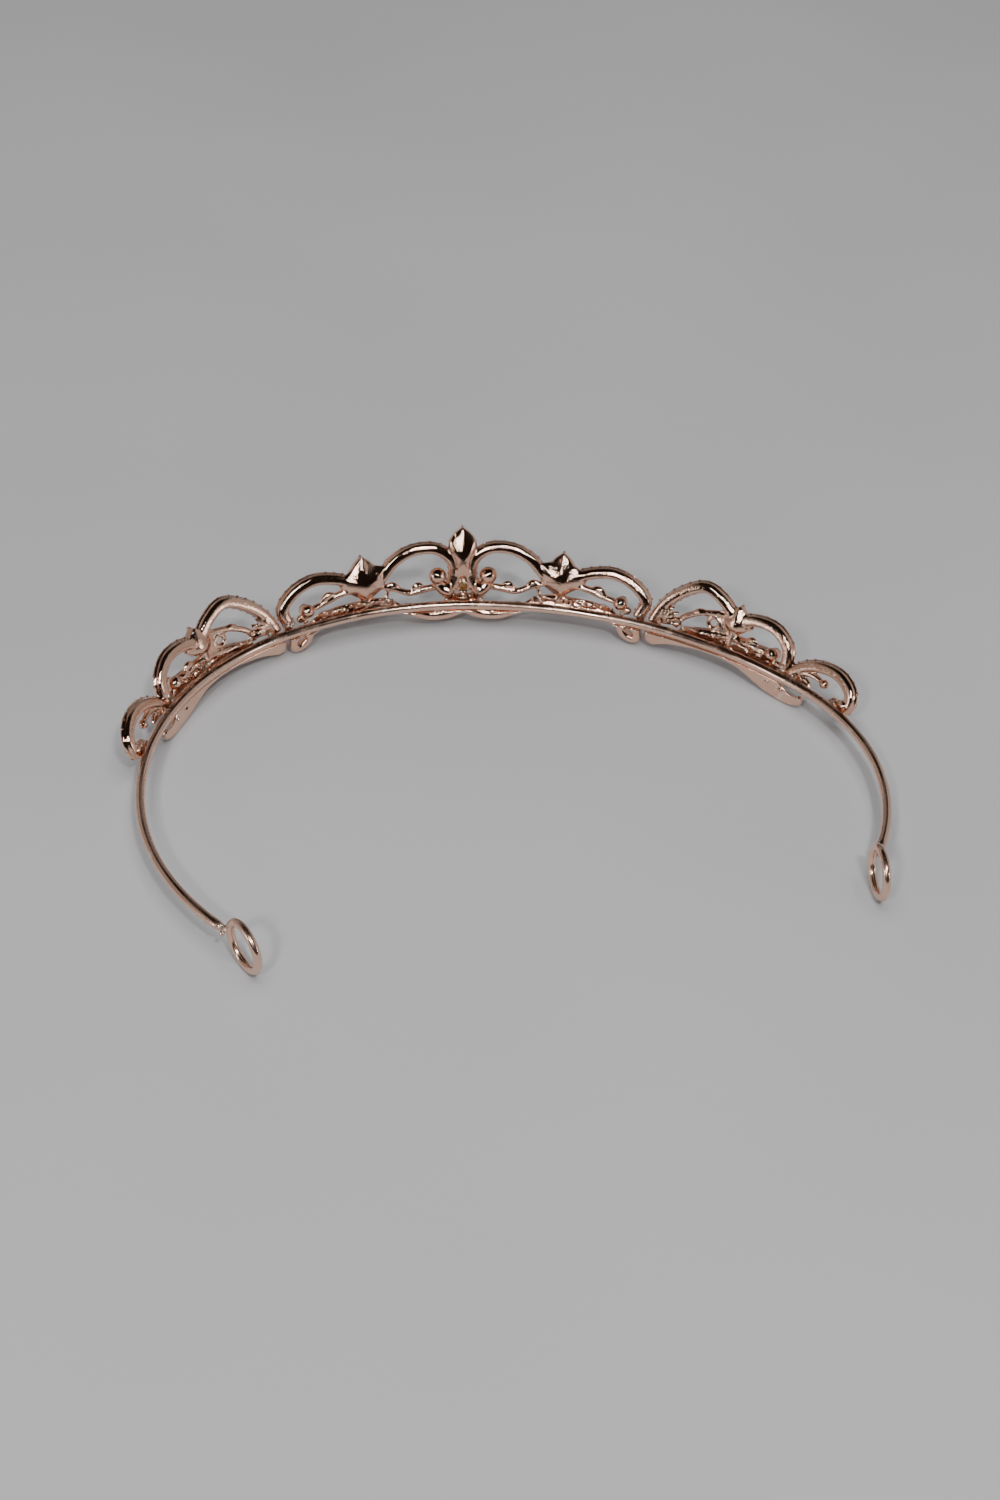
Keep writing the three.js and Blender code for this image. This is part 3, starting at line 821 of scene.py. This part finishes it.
def brilliant(radius):
    """A round crystal with its girdle at depth 0: its points and faces, and which faces are foiled."""
    sides = 16
    turn = np.linspace(0, 2 * math.pi, sides, endpoint=False)
    half = turn[::2]
    eighth = half + (half[1] - half[0]) / 2
    points = np.vstack([
        corner_ring(TABLE, half), corner_ring(STAR, eighth), corner_ring(GIRDLE_TOP, turn),
        corner_ring(GIRDLE_FOOT, turn), corner_ring(PAVILION, half), [[0, 0, CULET_DEPTH]],
    ])
    count = len(half)
    star, crown = count, 2 * count
    girdle = crown + sides
    lower = girdle + sides
    culet = lower + count
    faces = [list(range(count))]
    foiled = [False]
    for n in range(count):
        after = (n + 1) % count
        mid = (2 * n + 1) % sides
        end = (2 * n + 2) % sides
        faces += [
            [n, star + n, after],
            [star + n, crown + 2 * n, crown + mid],
            [star + n, crown + mid, crown + end],
            [n, crown + 2 * n, star + n],
            [after, star + n, crown + end],
        ]
        foiled += [False] * 5
        faces += [
            [crown + 2 * n, girdle + 2 * n, girdle + mid, crown + mid],
            [crown + mid, girdle + mid, girdle + end, crown + end],
            [girdle + 2 * n, lower + n, girdle + mid],
            [girdle + mid, lower + n, lower + after],
            [girdle + mid, lower + after, girdle + end],
            [lower + n, culet, lower + after],
        ]
        foiled += [True] * 6
    return points * radius, faces, foiled


def row_crystals(points, start, end, side):
    """The round crystals in one arch, which of their faces are foiled, and the grains that hold them."""
    line = flat_line(points, side, 200)
    length = np.linalg.norm(np.diff(line, axis=0), axis=1).sum() * (end - start)
    count = int(length // ROW_PITCH)
    places = part_of(line, start, end, 2 * count + 1)
    tangent = np.gradient(places, axis=0)
    tangent /= np.linalg.norm(tangent, axis=1)[:, None]
    across = np.column_stack([-tangent[:, 1], tangent[:, 0]])
    stones, foiled = [], []
    for centre in places[1::2]:
        shape, faces, backs = brilliant(ROW_STONE_RADIUS)
        stones.append((shape + [*centre, ROW_GIRDLE_DEPTH], faces))
        foiled += backs
    grains = [
        ball((*(places[n] + reach * across[n]), depth), radius, rings=6, sides=8)
        for n in range(0, len(places), 2)
        for reach, depth, radius in ROW_GRAINS
    ]
    return stones, foiled, grains


def pear_brilliant():
    """A pear crystal with its girdle at depth 0: its points and faces, and which faces are foiled."""
    outline = pear_outline(PEAR_LENGTH, PEAR_WIDTH, PEAR_CORNERS)
    rings = scaled_rings(outline, PEAR_CENTRE, PEAR_RINGS)
    for n in PEAR_TURNED_RINGS:
        rings[n] = (rings[n] + np.roll(rings[n], -1, axis=0)) / 2
    points, faces = stacked(rings)
    on_bands = PEAR_CORNERS * (len(PEAR_RINGS) - 1)
    backs = [n < PEAR_CORNERS * PEAR_FOILED_BANDS for n in range(on_bands)] + [True, False]
    facets, foiled = [], []
    for face, backed in zip(faces, backs):
        if len(face) == 4 and abs(points[face[0]][2] - points[face[2]][2]) > 0.2:
            facets += [[face[0], face[1], face[2]], [face[0], face[2], face[3]]]
            foiled += [backed, backed]
        else:
            facets.append(face)
            foiled.append(backed)
    return points, facets, foiled


def outward(faces, side):
    """Faces of mirrored work are turned over, so that they still face out."""
    return faces if side > 0 else [face[::-1] for face in faces]


def add_stones(name, points, faces, foiled, back, node):
    """Adds crystals as one piece, clear in front and with foil on their backs."""
    add_piece(
        name, bend(points), faces, [CRYSTAL, back], node,
        smooth=False, parts=[int(on_back) for on_back in foiled],
    )


def add_crystals():
    """Adds every crystal, and returns the grains that hold the rows, by ornament."""
    grains = {"centre": [], "left": [], "right": []}
    for side_name, side in SIDES.items():
        for arch_name, (points, start, end) in ROWS.items():
            stones, foiled, held = row_crystals(points, start, end, side)
            owner = "centre" if arch_name in ("inner_arch", "outer_arch") else side_name
            grains[owner] += held
            name = f"{side_name}_{arch_name}_crystal"
            add_stones(f"{name}s", *gathered(stones), foiled, SILVER_FOIL, f"{name}_row")
    pears = [("centre_pear", CENTRE_PEAR, 1)]
    pears += [(f"{name}_inner_pear", INNER_PEAR, side) for name, side in SIDES.items()]
    pears += [(f"{name}_outer_pear", OUTER_PEAR, side) for name, side in SIDES.items()]
    for name, place_at, side in pears:
        points, faces, foiled = pear_brilliant()
        points, faces = moved((points, faces), place_at, side, CUP_GIRDLE_DEPTH)
        add_stones(f"{name}_stone", points, outward(faces, side), foiled, SILVER_FOIL, f"{name}_crystal")
    rounds = [("centre_round", (0, BEZEL_HEIGHT), 1, BEZEL_STONE_RADIUS, BEZEL_GIRDLE_DEPTH, GOLD_FOIL)]
    for name, side in SIDES.items():
        for label, place_at in (("scroll", SCROLL_BEAD), ("vine", VINE_BEAD), ("side", SIDE_BEAD)):
            rounds.append(
                (f"{name}_{label}", place_at, side, CUP_STONE_RADIUS, CUP_GIRDLE_DEPTH, SILVER_FOIL)
            )
    for name, (s, h), side, radius, depth, back in rounds:
        points, faces, foiled = brilliant(radius)
        add_stones(f"{name}_stone", points + [side * s, h, depth], faces, foiled, back, f"{name}_crystal")
    return grains


def add_ornaments(grains):
    """Adds the three castings, each with its claws and the grains that hold its rows of crystals."""
    works = {
        "centre": centre_ornament() + claws(CENTRE_PEAR, 1) + claws(INNER_PEAR, 1) + claws(INNER_PEAR, -1),
        "left": side_ornament(1) + claws(OUTER_PEAR, 1),
        "right": side_ornament(-1) + claws(OUTER_PEAR, -1),
    }
    for name, shapes in works.items():
        skin = cast(shapes, CENTRE_VOXEL if name == "centre" else VOXEL)
        points, faces = gathered([skin, *grains[name]])
        add_piece(f"{name}_ornament", bend(points), faces, [ROSE_GOLD], f"{name}_casting")


# ---- Band and end rings ----
def tube(line, radius):
    """A round wire along a nearly level line of points in three dimensions."""
    tangent = np.gradient(line, axis=0)
    tangent /= np.linalg.norm(tangent, axis=1)[:, None]
    level = np.cross(tangent, [0, 0, 1.0])
    level /= np.linalg.norm(level, axis=1)[:, None]
    up = np.cross(level, tangent)
    angle = np.linspace(0, 2 * math.pi, WIRE_SIDES, endpoint=False)
    rings = line[:, None] + radius[:, None, None] * (
        np.cos(angle)[None, :, None] * level[:, None] + np.sin(angle)[None, :, None] * up[:, None]
    )
    return rings.reshape(-1, 3), grid_faces(len(line), WIRE_SIDES)


def add_band():
    """Adds the sprung wire, rounded at both ends and not quite even in height."""
    s = np.linspace(RIGHT_END + 0.3, LEFT_END - 0.3, WIRE_POINTS)
    x, y, _ = band_at(s)
    sway = SLOW_SWAY[0] * np.sin(s * SLOW_SWAY[1]) + QUICK_SWAY[0] * np.sin(s * QUICK_SWAY[1] + 1.0)
    radius = np.full(WIRE_POINTS, WIRE_RADIUS)
    for n, share in enumerate((0.55, 0.86, 0.97)):
        radius[n] *= share
        radius[-1 - n] *= share
    points, faces = tube(np.column_stack([x, y, sway]) + WIRE_FRONT, radius)
    add_piece("band_wire", points * MM, faces, [WIRE_GOLD], "head_band")


def add_end_rings():
    """Adds the end rings. Each stands upright, at its turn from the wire's line."""
    for name, end in (("left", LEFT_END), ("right", RIGHT_END)):
        _, _, heading = band_at(np.array([float(end)]))
        facing = (heading[0] if end > 0 else heading[0] + math.pi) + RING_TURNS[name]
        centre = np.array(middle(f"{name}_end_ring")) / MM
        angle = np.linspace(0, 2 * math.pi, RING_POINTS, endpoint=False)
        section = np.linspace(0, 2 * math.pi, RING_SIDES, endpoint=False)
        along = np.array([math.cos(facing), math.sin(facing), 0])
        sideways = np.cross(along, [0, 0, 1.0])
        spoke = np.cos(angle)[:, None] * along + np.sin(angle)[:, None] * np.array([0, 0, 1.0])
        line = centre + (RING_RADIUS - RING_TUBE) * spoke
        rings = line[:, None] + RING_TUBE * (
            np.cos(section)[None, :, None] * spoke[:, None] + np.sin(section)[None, :, None] * sideways
        )
        faces = grid_faces(RING_POINTS, RING_SIDES)[:-2]
        last = (RING_POINTS - 1) * RING_SIDES
        faces += [
            [last + n, last + (n + 1) % RING_SIDES, (n + 1) % RING_SIDES, n] for n in range(RING_SIDES)
        ]
        points = rings.reshape(-1, 3) * MM
        add_piece(f"{name}_ring", points, faces, [WIRE_GOLD], f"{name}_end_ring")


# ---- Solder ----
def solder_lump(centre, radius, seed):
    """A few beads of solder run together about a point in the part frame, in millimetres."""
    draw = np.random.default_rng(seed)
    shapes = []
    for n in range(SOLDER_BEADS):
        offset = draw.normal(0, 0.45 * radius, 3) if n else np.zeros(3)
        size = radius * draw.uniform(0.55, 0.85)
        shapes.append(ball(np.asarray(centre) + offset, size, rings=9, sides=14))
    return shapes


def add_solder():
    """Adds the solder between the castings and the wire, and between the wire and its rings."""
    back = -FRONT - GAP / 2
    joints = {
        "centre": [(0.0, 0.4)] + [(side * s, h) for s, h in CENTRE_JOINTS for side in (1, -1)],
        "left": SIDE_JOINTS,
        "right": [(-s, h) for s, h in SIDE_JOINTS],
    }
    for seed, (name, places) in enumerate(joints.items()):
        shapes = []
        for n, (s, h) in enumerate(places):
            at = bend(np.array([[s, h, back]]))[0] / MM
            shapes += solder_lump(at, SOLDER_RADIUS, 100 * seed + n)
        points, faces = cast(shapes, SOLDER_VOXEL, rounds=2)
        add_piece(f"{name}_solder", points * MM, faces, [SOLDER_METAL], None)
    for seed, (name, end) in enumerate((("left", LEFT_END), ("right", RIGHT_END))):
        x, y, _ = band_at(np.array([float(end)]))
        at = np.array([x[0], y[0], 0]) + WIRE_FRONT
        points, faces = cast(solder_lump(at, RING_SOLDER_RADIUS, 900 + seed), RING_SOLDER_VOXEL, rounds=2)
        add_piece(f"{name}_ring_solder", points * MM, faces, [SOLDER_METAL], None)


# ---- Stage ----
FLOOR_EXTENT = 0.9
FLOOR_LINES = 9

# Soft boxes: bearing from +Y towards +X and elevation in degrees, distance and size in metres, power in
# watts, colour, and whether the metal mirrors it.
WHITE = (1, 1, 1)
LIGHTS = {
    "left_key": (24, 40, 0.9, (0.06, 0.09), 2.4, WHITE, True),
    "right_key": (-14, 54, 0.9, (0.08, 0.08), 3.0, WHITE, True),
    "ceiling_bounce": (0, 88, 1.3, (1.2, 1.2), 14.6, WHITE, False),
    "left_window": (66, 14, 1.0, (0.1, 0.24), 0.9, WHITE, True),
    "right_window": (-64, 12, 1.0, (0.1, 0.24), 0.8, WHITE, True),
    "right_panel": (-104, 20, 1.6, (2.4, 1.4), 4.2, WHITE, True),
    "left_panel": (108, 20, 1.6, (2.4, 1.4), 3.4, (1, 0.93, 0.88), True),
    "back_panel": (180, 24, 1.7, (2.4, 1.0), 1.6, WHITE, True),
}


def pale_cloth():
    """Pale satin under the tiara: soft, nearly plain, with a very faint weave."""
    material, tree, shader = new_material("pale_cloth")
    weave = noise(tree, 900.0, 2.0)
    clouds = ramp(tree, noise(tree, 6.0, 2.0), 0.3, 0.7, 0.0, 1.0)
    tint = mix_colour(tree, clouds, (0.43, 0.43, 0.445, 1), (0.40, 0.395, 0.405, 1))
    tree.links.new(tint, shader.inputs["Base Color"])
    add_relief(tree, shader, weave, 0.05, 0.0001)
    shader.inputs["Roughness"].default_value = 0.6
    return material


def add_floor():
    """A wide plain floor."""
    edge = np.linspace(-FLOOR_EXTENT, FLOOR_EXTENT, FLOOR_LINES)
    points = [(x, y, 0.0) for y in edge for x in edge]
    corners = [row * FLOOR_LINES + n for row in range(FLOOR_LINES - 1) for n in range(FLOOR_LINES - 1)]
    faces = [[n, n + 1, n + 1 + FLOOR_LINES, n + FLOOR_LINES] for n in corners]
    mesh = mesh_of("floor", points, faces)
    mesh.materials.append(pale_cloth())
    floor = bpy.data.objects.new("floor", mesh)
    bpy.context.scene.collection.objects.link(floor)


def direction(turn, height):
    """The way to a bearing from +Y towards +X and an elevation, in radians."""
    return Vector((
        math.sin(turn) * math.cos(height),
        math.cos(turn) * math.cos(height),
        math.sin(height),
    ))


def add_lights():
    """Aims every soft box at the tiara."""
    for name, (turn, height, distance, size, power, colour, mirrored_in_metal) in LIGHTS.items():
        data = bpy.data.lights.new(name, "AREA")
        data.shape = "RECTANGLE"
        data.size, data.size_y = size
        data.energy = power
        data.color = colour
        lamp = bpy.data.objects.new(name, data)
        lamp.location = distance * direction(math.radians(turn), math.radians(height))
        lamp.rotation_euler = lamp.location.to_track_quat("Z", "Y").to_euler()
        lamp.visible_glossy = mirrored_in_metal
        lamp.visible_camera = False
        bpy.context.scene.collection.objects.link(lamp)


def add_room():
    """A dark room for the metal to mirror, with a pale backdrop beyond the floor."""
    world = bpy.data.worlds.new("dark_room")
    world.use_nodes = True
    tree = world.node_tree
    seen = place(tree, "LightPath").outputs["Is Camera Ray"]
    backdrop = mix_colour(tree, seen, (0.012, 0.01, 0.009, 1), (0.42, 0.42, 0.43, 1))
    tree.links.new(backdrop, tree.nodes["Background"].inputs["Color"])
    bpy.context.scene.world = world


# ---- Camera ----
CAMERA_TURN = math.radians(4.53)
CAMERA_HEIGHT = math.radians(40.80)
CAMERA_ROLL = math.radians(1.91)
CAMERA_DISTANCE = 0.4255
CAMERA_TARGET = Vector((0.00035, 0.00037, 0.0054))
CAMERA_SENSOR = 36
CAMERA_LENS = 52.75


def add_camera():
    """Looks down at the tiara from behind."""
    data = bpy.data.cameras.new("camera")
    data.sensor_fit = "VERTICAL"
    data.sensor_height = CAMERA_SENSOR
    data.lens = CAMERA_LENS
    data.clip_start = 0.01
    camera = bpy.data.objects.new("camera", data)
    away = direction(CAMERA_TURN, CAMERA_HEIGHT)
    right = (-away).cross(Vector((0, 0, 1))).normalized()
    up = right.cross(-away)
    rolled_right = math.cos(CAMERA_ROLL) * right + math.sin(CAMERA_ROLL) * up
    rolled_up = -math.sin(CAMERA_ROLL) * right + math.cos(CAMERA_ROLL) * up
    aim = Matrix([rolled_right, rolled_up, away]).transposed().to_4x4()
    camera.matrix_world = Matrix.Translation(CAMERA_TARGET + away * CAMERA_DISTANCE) @ aim
    bpy.context.scene.collection.objects.link(camera)
    bpy.context.scene.camera = camera


add_camera()
add_floor()
add_lights()
add_room()
add_ornaments(add_crystals())
add_band()
add_end_rings()
add_solder()
